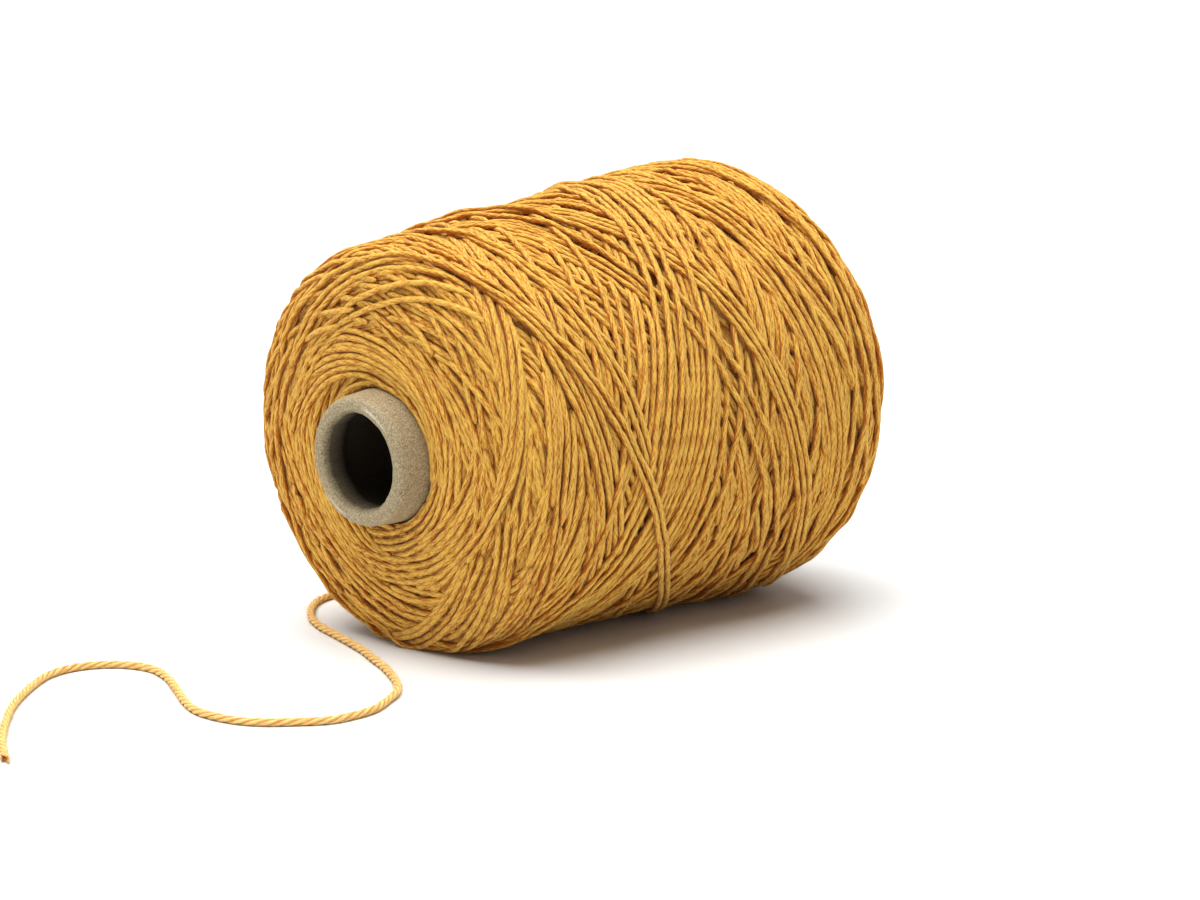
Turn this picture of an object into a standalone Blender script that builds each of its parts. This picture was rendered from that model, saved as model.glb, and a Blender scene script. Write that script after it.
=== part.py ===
"""A cone of yarn lying on its side: a paper core, the yarn wound on it and the loose end.

Metres, +Z up.  The package rests on a flat spot along its lowest line, its small end
points to -X, and the origin is on the resting surface under the middle of the package
and its core.  "along" is measured on the core's axis from the wound face at the small end.
"""

import bmesh
import bpy
import numpy as np
from math import cos, hypot, pi, radians, sin, sqrt, tan
from mathutils import Matrix, Vector

MM = 0.001
GAP = 0.35 * MM  # between pieces that touch

# The core: a paper tube turned to a standard 3 degree 30 minute cone.
CONE_ANGLE = radians(3.5)  # half angle, and the lean of the axis when the package lies down
CORE_LENGTH = 170.0 * MM
CORE_PROUD = 8.5 * MM  # how far the nose stands out of the winding
CORE_RADIUS = 17.6 * MM  # outside, level with the wound face
CORE_WALL = 2.2 * MM
CORE_BEVEL = 0.6 * MM  # at the cut edge of the wide end
LIP_HOLE = 12.6 * MM  # radius of the hole in the rolled nose
LIP_LENGTH = 7.5 * MM  # how far the rolled edge reaches back inside
LIP_STEP = 1.2 * MM  # over which the rolled edge opens to the wall behind it
CORE_STEPS = 56
MERGE = 0.01 * MM

# The winding.
WOUND_LENGTH = 145.0 * MM
NEAR_RADIUS = 53.7 * MM  # at the small end's shoulder
FACE_RADIUS = 33.0 * MM  # where the small end's flat face starts to round off
NEAR_ROUND = 9.0 * MM  # length of the small end's shoulder
FAR_ROUND = 23.0 * MM  # length of the large end's shoulder
FAR_DROP = 30.0 * MM  # how far that shoulder comes in
FACE_SWELL = 0.8 * MM  # the face stands proud next to the core
OVAL = 1.1 * MM  # how far the small end is out of round
OVAL_TURN = radians(130)  # its widest place, counted from below towards +Y
OVAL_REACH = 90.0 * MM  # the body is round again from here on
WAIST = 1.1 * MM  # shallow hollow of the body
WAIST_PLACE = 52.0 * MM
WAIST_SPREAD = 30.0 * MM
FLAT_SINK = 0.9 * MM  # how deep the flat spot is pressed into the plain form
ROUND_STEPS = 96
BODY_ROWS = 31

# The main twists: one heavy band of yarn traversing to and fro, round and round.
TWIST_CYCLES = 9
TWIST_WIDTH = 6.0 * MM  # from the band's middle to its edge
TWIST_HEIGHT = 1.6 * MM  # of the last band laid; the first ones lie lower
TWIST_FIRST = 0.7  # share of that height
TWIST_START = radians(200)
STROKE_TURNS = (radians(318), radians(358))  # how far round one stroke goes
NEAR_TURNS = (5.0 * MM, 62.0 * MM)  # range of the turning places, measured over the surface
FAR_TURNS = (104.0 * MM, 176.0 * MM)
GOLDEN = (sqrt(5) - 1) / 2  # spreads the turning places evenly without a repeat

# The loose end: its route over the surface from under the package, in millimetres.
YARN_RADIUS = 1.0 * MM
CORD_CLEAR = 0.02 * MM  # keeps the faceted cord just above the surface
CORD_POINTS = 79
ROUTE_FINENESS = 24  # places worked out between two points of the route
LOOSE_ROUTE = [
    (-12, 15), (-12, 26), (-15, 37), (-20, 47), (-28, 55), (-36, 59), (-43, 59), (-50, 56),
    (-57, 50), (-64, 42), (-69, 33), (-72, 25), (-76, 14), (-80, 4), (-85, -6), (-90, -16),
    (-97, -27), (-104, -35), (-112, -40), (-120, -44), (-128, -45), (-135, -44), (-142, -39),
    (-148, -33), (-151, -25), (-151, -15), (-147, -5), (-140, 7), (-134, 18), (-131, 28),
    (-133, 36), (-138, 41), (-145, 43), (-154, 41), (-166, 33), (-179, 22), (-191, 9),
    (-200, -2), (-207, -12), (-211, -18),
]

CORE_START = -CORE_PROUD
CORE_END = CORE_LENGTH - CORE_PROUD
NOSE_RADIUS = CORE_RADIUS - 0.5 * MM  # outside, at the rolled edge
LIP_ROLL = (NOSE_RADIUS - LIP_HOLE) / 2
FORE = CORE_PROUD * cos(CONE_ANGLE) + (NOSE_RADIUS - LIP_ROLL) * sin(CONE_ANGLE)
AFT = CORE_END * cos(CONE_ANGLE) + (CORE_RADIUS + CORE_END * tan(CONE_ANGLE)) * sin(CONE_ANGLE)
AXIS_HEIGHT = NEAR_RADIUS / cos(CONE_ANGLE) - NEAR_ROUND * sin(CONE_ANGLE) - FLAT_SINK
AXIS_PLACE = Vector(((FORE - AFT) / 2, 0, AXIS_HEIGHT))


def material(name, colour, roughness):
    made = bpy.data.materials.new(name)
    made.use_nodes = True
    shader = made.node_tree.nodes["Principled BSDF"]
    shader.inputs["Base Color"].default_value = (*colour, 1)
    shader.inputs["Roughness"].default_value = roughness
    shader.inputs["Metallic"].default_value = 0
    return made


def add_object(name, data, collection, finish):
    made = bpy.data.objects.new(name, data)
    made.data.materials.append(finish)
    collection.objects.link(made)
    return made


def core_radius(along):
    return CORE_RADIUS + along * tan(CONE_ANGLE)


def core_profile():
    """The tube's cut section as (radius, along), down the outside and back up the inside."""
    lip = LIP_HOLE + LIP_ROLL
    points = [(core_radius(part), part) for part in np.linspace(CORE_END - CORE_BEVEL, 0, 5)]
    points += [
        (lip + LIP_ROLL * cos(angle), CORE_START + LIP_ROLL - LIP_ROLL * sin(angle))
        for angle in np.linspace(0, pi, 9)
    ]
    back = CORE_START + LIP_LENGTH
    points += [
        (LIP_HOLE, back),
        (core_radius(back) - CORE_WALL, back + LIP_STEP),
    ]
    points += [
        (core_radius(part) - CORE_WALL, part)
        for part in np.linspace(CORE_END / 2, CORE_END - CORE_BEVEL, 2)
    ]
    points += [
        (core_radius(CORE_END) - CORE_WALL * 0.7, CORE_END),
        (core_radius(CORE_END) - CORE_WALL * 0.3, CORE_END),
    ]
    return points


def make_core(collection, axis):
    points = core_profile()
    section = bpy.data.meshes.new("paper_core")
    loop = [(k, (k + 1) % len(points)) for k in range(len(points))]
    section.from_pydata([(radius, 0, along) for radius, along in points], loop, [])
    core = add_object("paper_core", section, collection, material("paper", (0.25, 0.21, 0.16), 0.7))
    core.parent = axis
    turn = core.modifiers.new("turn", "SCREW")
    turn.axis = "Z"
    turn.steps = CORE_STEPS
    turn.render_steps = CORE_STEPS
    turn.use_merge_vertices = True
    turn.merge_threshold = MERGE
    turn.use_normal_calculate = True
    return core


def form_radius(along):
    """Radius of the plain wound form, without its end faces."""
    waist = WAIST * np.exp(-(((along - WAIST_PLACE) / WAIST_SPREAD) ** 2))
    return NEAR_RADIUS + tan(CONE_ANGLE) * (along - NEAR_ROUND) - waist


def form_profile():
    """The wound form's outer line as (radius, along), from the core's nose end to its far end."""
    inner = core_radius(0) + GAP
    face = [
        (radius, -FACE_SWELL * sin(pi * (radius - inner) / (FACE_RADIUS - inner)) ** 2)
        for radius in np.linspace(inner, FACE_RADIUS, 5)[:-1]
    ]
    drop = form_radius(NEAR_ROUND) - FACE_RADIUS
    near = [
        (FACE_RADIUS + drop * sin(angle), NEAR_ROUND * (1 - cos(angle)))
        for angle in np.linspace(0, pi / 2, 7)[:-1]
    ]
    body_end = WOUND_LENGTH - FAR_ROUND
    body = [(form_radius(along), along) for along in np.linspace(NEAR_ROUND, body_end, BODY_ROWS)]
    last = form_radius(body_end)
    far = [
        (last - FAR_DROP * (1 - cos(angle)), body_end + FAR_ROUND * sin(angle))
        for angle in np.linspace(0, pi / 2, 10)[1:]
    ]
    return face + near + body + far + [(core_radius(WOUND_LENGTH) + GAP, WOUND_LENGTH)]


def spread(number, low, high):
    """The number's place in a range, so that any run of numbers fills the range evenly."""
    return low + (high - low) * ((number * GOLDEN) % 1)


def twist_height(over, turn, radius):
    """How far the main twists stand out, at a distance over the surface and an angle round it."""
    height = np.zeros_like(over)
    start = TWIST_START
    for stroke in range(2 * TWIST_CYCLES):
        far = spread(stroke // 2 + 3, *FAR_TURNS)
        near = spread((stroke + 1) // 2, *NEAR_TURNS)
        begin, end = (far, near) if stroke % 2 else (near, far)
        sweep = spread(stroke * 2, *STROKE_TURNS)
        part = ((turn - start) % (2 * pi)) / sweep
        path = begin + (end - begin) * (1 - np.cos(pi * part)) / 2
        slope = (end - begin) * pi / 2 * np.sin(pi * part) / (radius * sweep)
        away = np.abs(over - path) / np.sqrt(1 + slope**2)
        ridge = np.cos(np.clip(away / TWIST_WIDTH, 0, 1) * pi / 2) ** 2
        level = TWIST_HEIGHT * (TWIST_FIRST + (1 - TWIST_FIRST) * stroke / (2 * TWIST_CYCLES))
        height = np.where(part <= 1, np.maximum(height, level * ridge), height)
        start += sweep
    return height


def make_winding(collection, place):
    """Spin the form round the core, raise the main twists on it and press the flat spot."""
    outer = form_profile()
    distances = [0.0]
    for (r0, a0), (r1, a1) in zip(outer, outer[1:]):
        distances.append(distances[-1] + hypot(r1 - r0, a1 - a0))
    mesh = bmesh.new()
    over = mesh.verts.layers.float.new("over")
    ring = [mesh.verts.new((radius, 0, along)) for radius, along in outer]
    for vertex, distance in zip(ring, distances):
        vertex[over] = distance
    edges = [mesh.edges.new((ring[k], ring[(k + 1) % len(ring)])) for k in range(len(ring))]
    bmesh.ops.spin(
        mesh,
        geom=ring + edges,
        cent=(0, 0, 0),
        axis=(0, 0, 1),
        angle=2 * pi,
        steps=ROUND_STEPS,
        use_merge=True,
    )
    bmesh.ops.remove_doubles(mesh, verts=mesh.verts, dist=MERGE)
    bmesh.ops.recalc_face_normals(mesh, faces=mesh.faces)
    mesh.normal_update()
    skin = [v for v in mesh.verts if MERGE < v[over] < distances[-1] - MERGE]
    turns = np.array([np.arctan2(v.co.y, v.co.x) for v in skin])
    radii = np.array([hypot(v.co.x, v.co.y) for v in skin])
    raised = twist_height(np.array([v[over] for v in skin]), turns, radii)
    wider = OVAL / NEAR_RADIUS * np.cos(2 * (turns - OVAL_TURN))
    for vertex, height, wide in zip(skin, raised, wider):
        fade = 1 - min(max(vertex.co.z, 0) / OVAL_REACH, 1)
        vertex.co.xy *= 1 + float(wide) * fade
        vertex.co += vertex.normal * float(height)
    bmesh.ops.transform(mesh, matrix=place, verts=mesh.verts)
    for vertex in mesh.verts:
        vertex.co.z = max(vertex.co.z, 0.0)
    bmesh.ops.triangulate(mesh, faces=mesh.faces)
    data = bpy.data.meshes.new("wound_yarn")
    mesh.to_mesh(data)
    mesh.free()
    data.shade_smooth()
    return add_object("wound_yarn", data, collection, material("yarn", (0.64, 0.36, 0.09), 0.9))


def smooth_route(points, count):
    """Places at even steps along a smooth curve through the points."""
    route = np.array(points, float)
    ends = [2 * route[0] - route[1]], [2 * route[-1] - route[-2]]
    route = np.concatenate([ends[0], route, ends[1]])
    part = np.linspace(0, 1, ROUTE_FINENESS, endpoint=False)[:, None]
    fine = []
    for a, b, c, d in zip(route, route[1:], route[2:], route[3:]):
        fine.append(
            0.5 * (2 * b + (c - a) * part + (2 * a - 5 * b + 4 * c - d) * part**2
                   + (3 * b - a - 3 * c + d) * part**3)
        )
    fine = np.concatenate(fine + [route[-2:-1]])
    gone = np.concatenate([[0], np.cumsum(np.linalg.norm(np.diff(fine, axis=0), axis=1))])
    wanted = np.linspace(0, gone[-1], count)
    return np.stack([np.interp(wanted, gone, fine[:, k]) for k in range(2)], axis=1)


def make_loose_end(collection):
    places = smooth_route(LOOSE_ROUTE, CORD_POINTS) * MM
    curve = bpy.data.curves.new("loose_end", "CURVE")
    curve.dimensions = "3D"
    curve.bevel_depth = YARN_RADIUS
    curve.bevel_resolution = 2
    curve.use_fill_caps = True
    spline = curve.splines.new("POLY")
    spline.points.add(len(places) - 1)
    for point, (x, y) in zip(spline.points, places):
        point.co = (x, y, YARN_RADIUS + CORD_CLEAR, 1)
    finish = material("yarn_end", (0.74, 0.43, 0.12), 0.9)
    return add_object("loose_end", curve, collection, finish)


def main():
    for old in list(bpy.data.objects):
        bpy.data.objects.remove(old, do_unlink=True)
    collection = bpy.data.collections.new("cone_of_yarn")
    bpy.context.scene.collection.children.link(collection)
    place = Matrix.Translation(AXIS_PLACE) @ Matrix.Rotation(pi / 2 - CONE_ANGLE, 4, "Y")
    axis = bpy.data.objects.new("cone_axis", None)
    axis.matrix_world = place
    collection.objects.link(axis)
    make_core(collection, axis)
    make_winding(collection, place)
    make_loose_end(collection)


main()
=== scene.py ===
"""A cone of soft ochre yarn on a paper core, lying on its side with its end pulled loose.

Metres, +Z up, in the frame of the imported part.  "Over" is the distance over the wound form's
surface, from the core at the small end to the core at the large end; "turn" is the angle round
the core's axis, from below towards +Y; "along" is measured on the axis from the wound face.
"""
from math import cos, pi, radians, sin, tan

import bmesh
import bpy
import numpy as np
from mathutils import Matrix, Vector


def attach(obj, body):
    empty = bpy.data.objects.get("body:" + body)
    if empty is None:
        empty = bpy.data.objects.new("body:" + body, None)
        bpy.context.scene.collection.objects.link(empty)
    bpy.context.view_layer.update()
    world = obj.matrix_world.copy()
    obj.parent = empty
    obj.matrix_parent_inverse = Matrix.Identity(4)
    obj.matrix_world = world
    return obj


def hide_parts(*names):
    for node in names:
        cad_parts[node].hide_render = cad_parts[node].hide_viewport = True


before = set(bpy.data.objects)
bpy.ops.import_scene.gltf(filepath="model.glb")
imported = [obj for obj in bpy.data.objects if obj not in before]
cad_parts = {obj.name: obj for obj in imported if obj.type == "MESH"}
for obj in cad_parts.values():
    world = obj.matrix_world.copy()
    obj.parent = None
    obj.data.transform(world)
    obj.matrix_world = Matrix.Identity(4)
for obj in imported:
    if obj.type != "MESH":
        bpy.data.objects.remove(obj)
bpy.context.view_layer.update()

MM = 0.001
FULL = 2 * pi
BODY = "root"

# The paper core, as in the part.
CONE_ANGLE = radians(3.5)
CORE_LENGTH = 170.0 * MM
CORE_PROUD = 8.5 * MM
CORE_RADIUS = 17.6 * MM
CORE_WALL = 2.2 * MM
LIP_HOLE = 12.6 * MM
LIP_LENGTH = 7.5 * MM
CORE_EDGE = 0.6 * MM  # rounded off at the large end
NOSE_ANGLES = np.linspace(0.02, pi, 26)  # round the rolled nose, from the outside inwards
CREASE_ANGLE = 1.45  # of the place on it where it creased
CREASE_REACH = 0.12
CREASE_DEEP = 0.15 * MM
CREASES = [(radians(212), radians(17)), (radians(34), radians(13))]  # turn and half width of each
FOLDS = (7, 11, 16, 23, 31)  # waves round the core, summed, in which its inner edge is gathered
FOLD_DEEP = 0.10 * MM
FOLD_REACH = 1.6 * MM
DENTS = (2, 3, 5)  # the same for the core's own unroundness
DENT_DEEP = 0.05 * MM
CORE_STEPS = 192
GAP = 0.35 * MM

# The wound form, as in the part.
WOUND_LENGTH = 145.0 * MM
NEAR_RADIUS = 53.7 * MM
FACE_RADIUS = 33.0 * MM
NEAR_ROUND = 9.0 * MM
FAR_ROUND = 23.0 * MM
FAR_DROP = 30.0 * MM
FACE_SWELL = 0.8 * MM
OVAL = 1.1 * MM
OVAL_TURN = radians(130)
OVAL_REACH = 90.0 * MM
WAIST = 1.1 * MM
WAIST_PLACE = 52.0 * MM
WAIST_SPREAD = 30.0 * MM
FLAT_SINK = 0.9 * MM

# The yarn: four plies with an S twist, pressed a little flat where it lies on the package.
HALF_WIDE = 0.84 * MM
HALF_HIGH = 0.75 * MM
PACKED = 0.81 * MM  # half the room that a strand takes up between its neighbours
SOFT = 0.33 * MM  # how deep one strand beds into the ones below it
LAY = 9.0 * MM  # length in which the plies go round once
PLIES = 4
FIBRE_LAY = 24.0 * MM  # the same for the fibres, which each ply's own twist turns nearly straight
SIDE_SHADE = 0.88  # painted shade: how much of the darker colour is painted low on a strand's sides and at its tips
SLUB = 0.05  # share by which a strand swells and thins
SLUB_LENGTHS = (13.0 * MM, 5.3 * MM)  # in which it does so
END_SHARE = 0.45  # to which a strand's mesh narrows at its ends
TIP_SHARE = 0.4  # of its half height by which its tips stand out past them
COLUMNS = 8  # of faces round a strand
PLY_COLUMNS = 6  # of faces round a ply of the loose end
STRAND_TRIANGLES = 730000  # for all the wound strands that show
PIECE_TRIANGLES = 190000
FINEST_RING = 1.2 * MM  # least distance between the rings of faces along a strand
SEEN_ABOVE = 0.15 * MM  # how deep a strand may lie under the map and still count as seen
SEEN_MARGIN = 3 * MM  # by which a stretch that shows goes on under its neighbours
SHORTEST = 4 * MM  # stretch that is worth a mesh
BED_CELLS = (4, 6)  # cells of the map, over and round, to one face of the bed
BED_DEEP = 0.6 * MM  # below the lowest yarn in them
BED_TOP = -1.5 * MM
BED_LOWEST = 0.3 * MM  # above the table
# Painted shade: the bed is darkened as the shadowed yarn deep under the last laps.
BED_SHADE = -0.4

# The fuzz: how many stray fibres, and how long and thick they are in millimetres.
FUZZ_COUNT = 26000
LOOSE_FUZZ_COUNT = 2400
FUZZ_LENGTHS = (0.8, 2.8)
FUZZ_THICKNESSES = (0.025, 0.045)
FUZZ_LOWEST = 0.1 * MM
FUZZ_TINT = 0.3

# How a strand settles on the package.
CELL = 0.45 * MM  # of the map of heights
TURN_CELLS = 840
STEP = 0.5 * MM  # between the places where a strand is worked out
PATH_RADIUS = 57.0 * MM  # mean radius of the flank, for lengths round it
BRIDGE = 26.0 * MM  # radius of the curve in which a taut strand spans a hollow
SLIDE = 1.0 * MM  # how far a strand may slip sideways into a groove
SLIP_STEP = 0.25 * MM  # between the slips that are tried
GRIP = 0.3  # what a slip costs, as height for each millimetre squared
FIRM = 0.75  # share of the highest point under a strand in its seat, the rest being the mean
COST_BLUR = 2.5 * MM
SLIP_BLUR = 12 * MM
HEIGHT_BLUR = 1.2 * MM
LEVEL_SPREAD = 3.5 * MM  # mounds wider than this are pressed level
YIELD = 3.2 * MM  # depth of new yarn that presses the relief below it to about a third
TUCK = 1.8 * MM  # how deep a strand's end dives under its neighbours
LIFT_OVER = np.array([0, 12, 25, 34, 44, 60, 140, 165, 200]) * MM  # places with a set lift
LIFT = np.array([-0.4, -0.4, -0.8, -0.8, 0.4, 0.8, 0.8, 0.2, 0.2]) * MM  # of the levelled surface

# Seeds of the random draws.
LOOSE_SEED = 3
CORE_SEED = 5
FACE_SEED = 7
LAP_SEED = 14

# The camera, as the photograph was taken: a long lens, low over the table.
LENS = 105.0
SENSOR = 36.0
CAMERA_PLACE = (-679.1 * MM, -655.9 * MM, 211.6 * MM)
CAMERA_YAW = radians(43.782)
CAMERA_PITCH = radians(-10.051)
TABLE_RADIUS = 6.0
LIGHT_WAY = (0.06, -0.1, -1.0)
LIGHT_SPREAD = radians(70)

# The loose end, and its route over the table in millimetres.
CORD_RADIUS = 1.0 * MM
CORD_CLEAR = 0.05 * MM  # above the table
LOOSE_LAY = 14.0 * MM  # off the package the twist opens a little
PLY_RADIUS = 0.48 * MM
PLY_SPREAD = 0.55 * MM  # of the plies' middles from the strand's own
PLY_LOWEST = 0.5 * MM
CUT_LENGTH = 7 * MM  # over which the plies open towards the cut
# Painted light: the loose end is lifted towards the paler colour, with less of the shade painted on
# its sides.
LOOSE_TINT = 0.2
ROUTE_FINENESS = 24
ROUTE_STEP = 0.6
LOOSE_ROUTE = [
    (-12, 15), (-12, 26), (-15, 37), (-20, 47), (-28, 55), (-36, 59), (-43, 59), (-50, 56),
    (-57, 50), (-64, 42), (-69, 33), (-72, 25), (-76, 14), (-80, 4), (-85, -6), (-90, -16),
    (-97, -27), (-104, -35), (-112, -40), (-120, -44), (-128, -45), (-135, -44), (-142, -39),
    (-148, -33), (-151, -25), (-151, -15), (-147, -5), (-140, 7), (-134, 18), (-131, 28),
    (-133, 36), (-138, 41), (-145, 43), (-154, 41), (-166, 33), (-179, 22), (-191, 9),
    (-200, -2), (-207, -12), (-211, -18),
]

CORE_START = -CORE_PROUD
CORE_END = CORE_LENGTH - CORE_PROUD
NOSE_RADIUS = CORE_RADIUS - 0.5 * MM
LIP_ROLL = (NOSE_RADIUS - LIP_HOLE) / 2
FORE = CORE_PROUD * cos(CONE_ANGLE) + (NOSE_RADIUS - LIP_ROLL) * sin(CONE_ANGLE)
AFT = CORE_END * cos(CONE_ANGLE) + (CORE_RADIUS + CORE_END * tan(CONE_ANGLE)) * sin(CONE_ANGLE)
AXIS_HEIGHT = NEAR_RADIUS / cos(CONE_ANGLE) - NEAR_ROUND * sin(CONE_ANGLE) - FLAT_SINK
PLACE = Matrix.Translation(((FORE - AFT) / 2, 0, AXIS_HEIGHT)) @ Matrix.Rotation(
    pi / 2 - CONE_ANGLE, 4, "Y"
)


# ---------------------------------------------------------------- materials

# Sizes of the patterns.  A single fibre, about 0.02 mm thick, is too fine to show, so the streaks
# along a strand are drawn as tufts of fibres.
TUFT_WIDE = MM / 2.7
TUFT_LONG = MM / 0.3
TANGLE = MM / 0.9
CLOUD = 6.25 * MM
PULP = 0.5 * MM
SPECK = MM / 0.9


def hex_colour(code):
    """An sRGB hex colour turned linear, with full opacity."""
    parts = [int(code[k:k + 2], 16) / 255 for k in (1, 3, 5)]
    linear = [p / 12.92 if p <= 0.04045 else ((p + 0.055) / 1.055) ** 2.4 for p in parts]
    return (*linear, 1.0)


def node(tree, kind, links=None, **settings):
    """Add a shader node with its settings, and link or set its inputs by their names or numbers,
    such as a colour mix's 6 and 7, the colours at its ends."""
    made = tree.nodes.new("ShaderNode" + kind)
    for key, value in settings.items():
        setattr(made, key, value)
    for key, value in (links or {}).items():
        socket = made.inputs[key]
        if isinstance(value, bpy.types.NodeSocket):
            tree.links.new(value, socket)
        else:
            socket.default_value = value
    return made


def finish_for(name):
    """A new material with its node tree emptied, its shader and its output."""
    made = bpy.data.materials.new(name)
    made.use_nodes = True
    tree = made.node_tree
    tree.nodes.clear()
    shader = node(tree, "BsdfPrincipled")
    node(tree, "OutputMaterial", {"Surface": shader.outputs[0]})
    return made, tree, shader


def spun_yarn(name, light, dark):
    """Soft carded yarn, four plies twisted: each ply is a smooth ridge, and the fibres lie along
    it, so the eye sees slanting ribs with fine streaks, a dull face and a pale bloom at the
    edge.  Shade is painted in the grooves between the plies and low on each strand's sides."""
    made, tree, shader = finish_for(name)
    strand = node(tree, "UVMap", uv_map="strand")
    across = node(tree, "SeparateXYZ", {"Vector": strand.outputs[0]})
    count = node(tree, "Math", {0: across.outputs["X"], 1: float(PLIES)}, operation="MULTIPLY")
    part = node(tree, "Math", {0: count.outputs[0]}, operation="FRACT")
    centred = node(tree, "Math", {0: part.outputs[0], 1: 2.0, 2: -1.0}, operation="MULTIPLY_ADD")
    square = node(tree, "Math", {0: centred.outputs[0], 1: 2.0}, operation="POWER")
    ridge = node(tree, "Math", {0: 1.0, 1: square.outputs[0]}, operation="SUBTRACT")
    lie = node(tree, "Attribute", attribute_name="lie")
    stretched = node(
        tree, "Mapping",
        {"Vector": lie.outputs["Vector"], "Scale": (1 / TUFT_WIDE, 1 / TUFT_WIDE, 1 / TUFT_LONG)},
    )
    fibres = node(
        tree, "TexNoise",
        {"Vector": stretched.outputs[0], "Scale": 1.0, "Detail": 3.0, "Roughness": 0.62},
    )
    tangle = node(
        tree, "TexNoise",
        {"Vector": lie.outputs["Vector"], "Scale": 1 / TANGLE, "Detail": 2.0, "Roughness": 0.6},
    )
    rough = node(
        tree, "Math", {0: fibres.outputs[0], 1: 4.0, 2: ridge.outputs[0]},
        operation="MULTIPLY_ADD",
    )
    relief = node(
        tree, "Bump", {"Height": rough.outputs[0], "Distance": 0.09 * MM, "Strength": 1.0}
    )
    # The tint attribute holds each strand's own random tone, less the shade painted low on its
    # sides and at its tips.
    tint = node(tree, "Attribute", attribute_name="tint")
    # Painted shade: the grooves between the plies take more of the darker colour.
    groove = node(
        tree, "MapRange",
        {"Value": ridge.outputs[0], "From Min": 0.0, "From Max": 0.7, "To Min": -0.24,
         "To Max": 0.1},
    )
    streak = node(
        tree, "MapRange",
        {"Value": fibres.outputs[0], "From Min": 0.4, "From Max": 0.58, "To Min": 0.06,
         "To Max": 0.94},
    )
    both = node(tree, "Math", {0: groove.outputs[0], 1: streak.outputs[0]}, operation="ADD")
    patch = node(
        tree, "Math", {0: tangle.outputs[0], 1: 0.5, 2: both.outputs[0]}, operation="MULTIPLY_ADD"
    )
    mixed = node(tree, "Math", {0: patch.outputs[0], 1: tint.outputs["Fac"]}, operation="ADD")
    colour = node(
        tree, "Mix",
        {"Factor": mixed.outputs[0], 6: hex_colour(dark), 7: hex_colour(light)},
        data_type="RGBA",
    )
    tree.links.new(colour.outputs[2], shader.inputs["Base Color"])
    tree.links.new(relief.outputs[0], shader.inputs["Normal"])
    shader.inputs["Roughness"].default_value = 0.92
    shader.inputs["Specular IOR Level"].default_value = 0.2
    shader.inputs["Sheen Weight"].default_value = 0.22
    shader.inputs["Sheen Roughness"].default_value = 0.5
    shader.inputs["Sheen Tint"].default_value = hex_colour("#FFE6B8")
    return made


def pressed_paper(name):
    """Grey board pulp wound into a tube and rolled at the nose: matt, with specks of darker
    fibre, faint cloudy patches and a pale line where the roll creased, partly rubbed paper and
    partly a painted highlight.  The bore is painted darker inwards, as shade, and there it is
    duller still."""
    made, tree, shader = finish_for(name)
    place = node(tree, "TexCoord")
    point = place.outputs["Object"]
    cloud = node(
        tree, "TexNoise", {"Vector": point, "Scale": 1 / CLOUD, "Detail": 4.0, "Roughness": 0.6}
    )
    pulp = node(
        tree, "TexNoise", {"Vector": point, "Scale": 1 / PULP, "Detail": 4.0, "Roughness": 0.75}
    )
    specks = node(tree, "TexVoronoi", {"Vector": point, "Scale": 1 / SPECK, "Randomness": 1.0})
    dots = node(
        tree, "MapRange",
        {"Value": specks.outputs["Distance"], "From Min": 0.1, "From Max": 0.26, "To Min": 0.8,
         "To Max": 0.0},
    )
    rare = node(
        tree, "MapRange",
        {"Value": cloud.outputs[0], "From Min": 0.44, "From Max": 0.56, "To Min": 0.0,
         "To Max": 1.0},
    )
    shown = node(tree, "Math", {0: dots.outputs[0], 1: rare.outputs[0]}, operation="MULTIPLY")
    body = node(
        tree, "Mix",
        {"Factor": cloud.outputs[0], 6: hex_colour("#796946"), 7: hex_colour("#988661")},
        data_type="RGBA",
    )
    grain = node(
        tree, "MapRange",
        {"Value": pulp.outputs[0], "From Min": 0.42, "From Max": 0.6, "To Min": 0.0, "To Max": 1.0},
    )
    pale = node(
        tree, "Mix",
        {"Factor": grain.outputs[0], 6: body.outputs[2], 7: hex_colour("#B5A588")},
        data_type="RGBA",
    )
    speckled = node(
        tree, "Mix",
        {"Factor": shown.outputs[0], 6: pale.outputs[2], 7: hex_colour("#4A3826")},
        data_type="RGBA",
    )
    # Partly rubbed paper and partly a painted highlight: a pale line along the crease of the rolled
    # nose.
    rub_and_glint = node(tree, "Attribute", attribute_name="rub_and_glint")
    edge = node(
        tree, "Mix",
        {"Factor": rub_and_glint.outputs["Fac"], 6: speckled.outputs[2], 7: hex_colour("#F4EEE0")},
        data_type="RGBA",
    )
    # Painted shade: the bore is mixed towards this dark colour inwards by the inside attribute,
    # which also makes it rougher.
    inside = node(tree, "Attribute", attribute_name="inside")
    wall = node(
        tree, "Mix",
        {"Factor": inside.outputs["Fac"], 6: edge.outputs[2], 7: hex_colour("#281F16")},
        data_type="RGBA",
    )
    relief = node(
        tree, "Bump", {"Height": pulp.outputs[0], "Distance": 0.14 * MM, "Strength": 1.0}
    )
    matt = node(
        tree, "Math", {0: inside.outputs["Fac"], 1: 0.46, 2: 0.54}, operation="MULTIPLY_ADD"
    )
    tree.links.new(wall.outputs[2], shader.inputs["Base Color"])
    tree.links.new(relief.outputs[0], shader.inputs["Normal"])
    tree.links.new(matt.outputs[0], shader.inputs["Roughness"])
    shader.inputs["Specular IOR Level"].default_value = 0.25
    return made


def plain_white(name):
    """White satin table top: it carries the soft shadow, which its faint gloss makes greyer."""
    made, tree, shader = finish_for(name)
    shader.inputs["Base Color"].default_value = hex_colour("#E8EAEC")
    shader.inputs["Roughness"].default_value = 0.45
    shader.inputs["Specular IOR Level"].default_value = 0.5
    return made


# ---------------------------------------------------------------- the wound form


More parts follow.
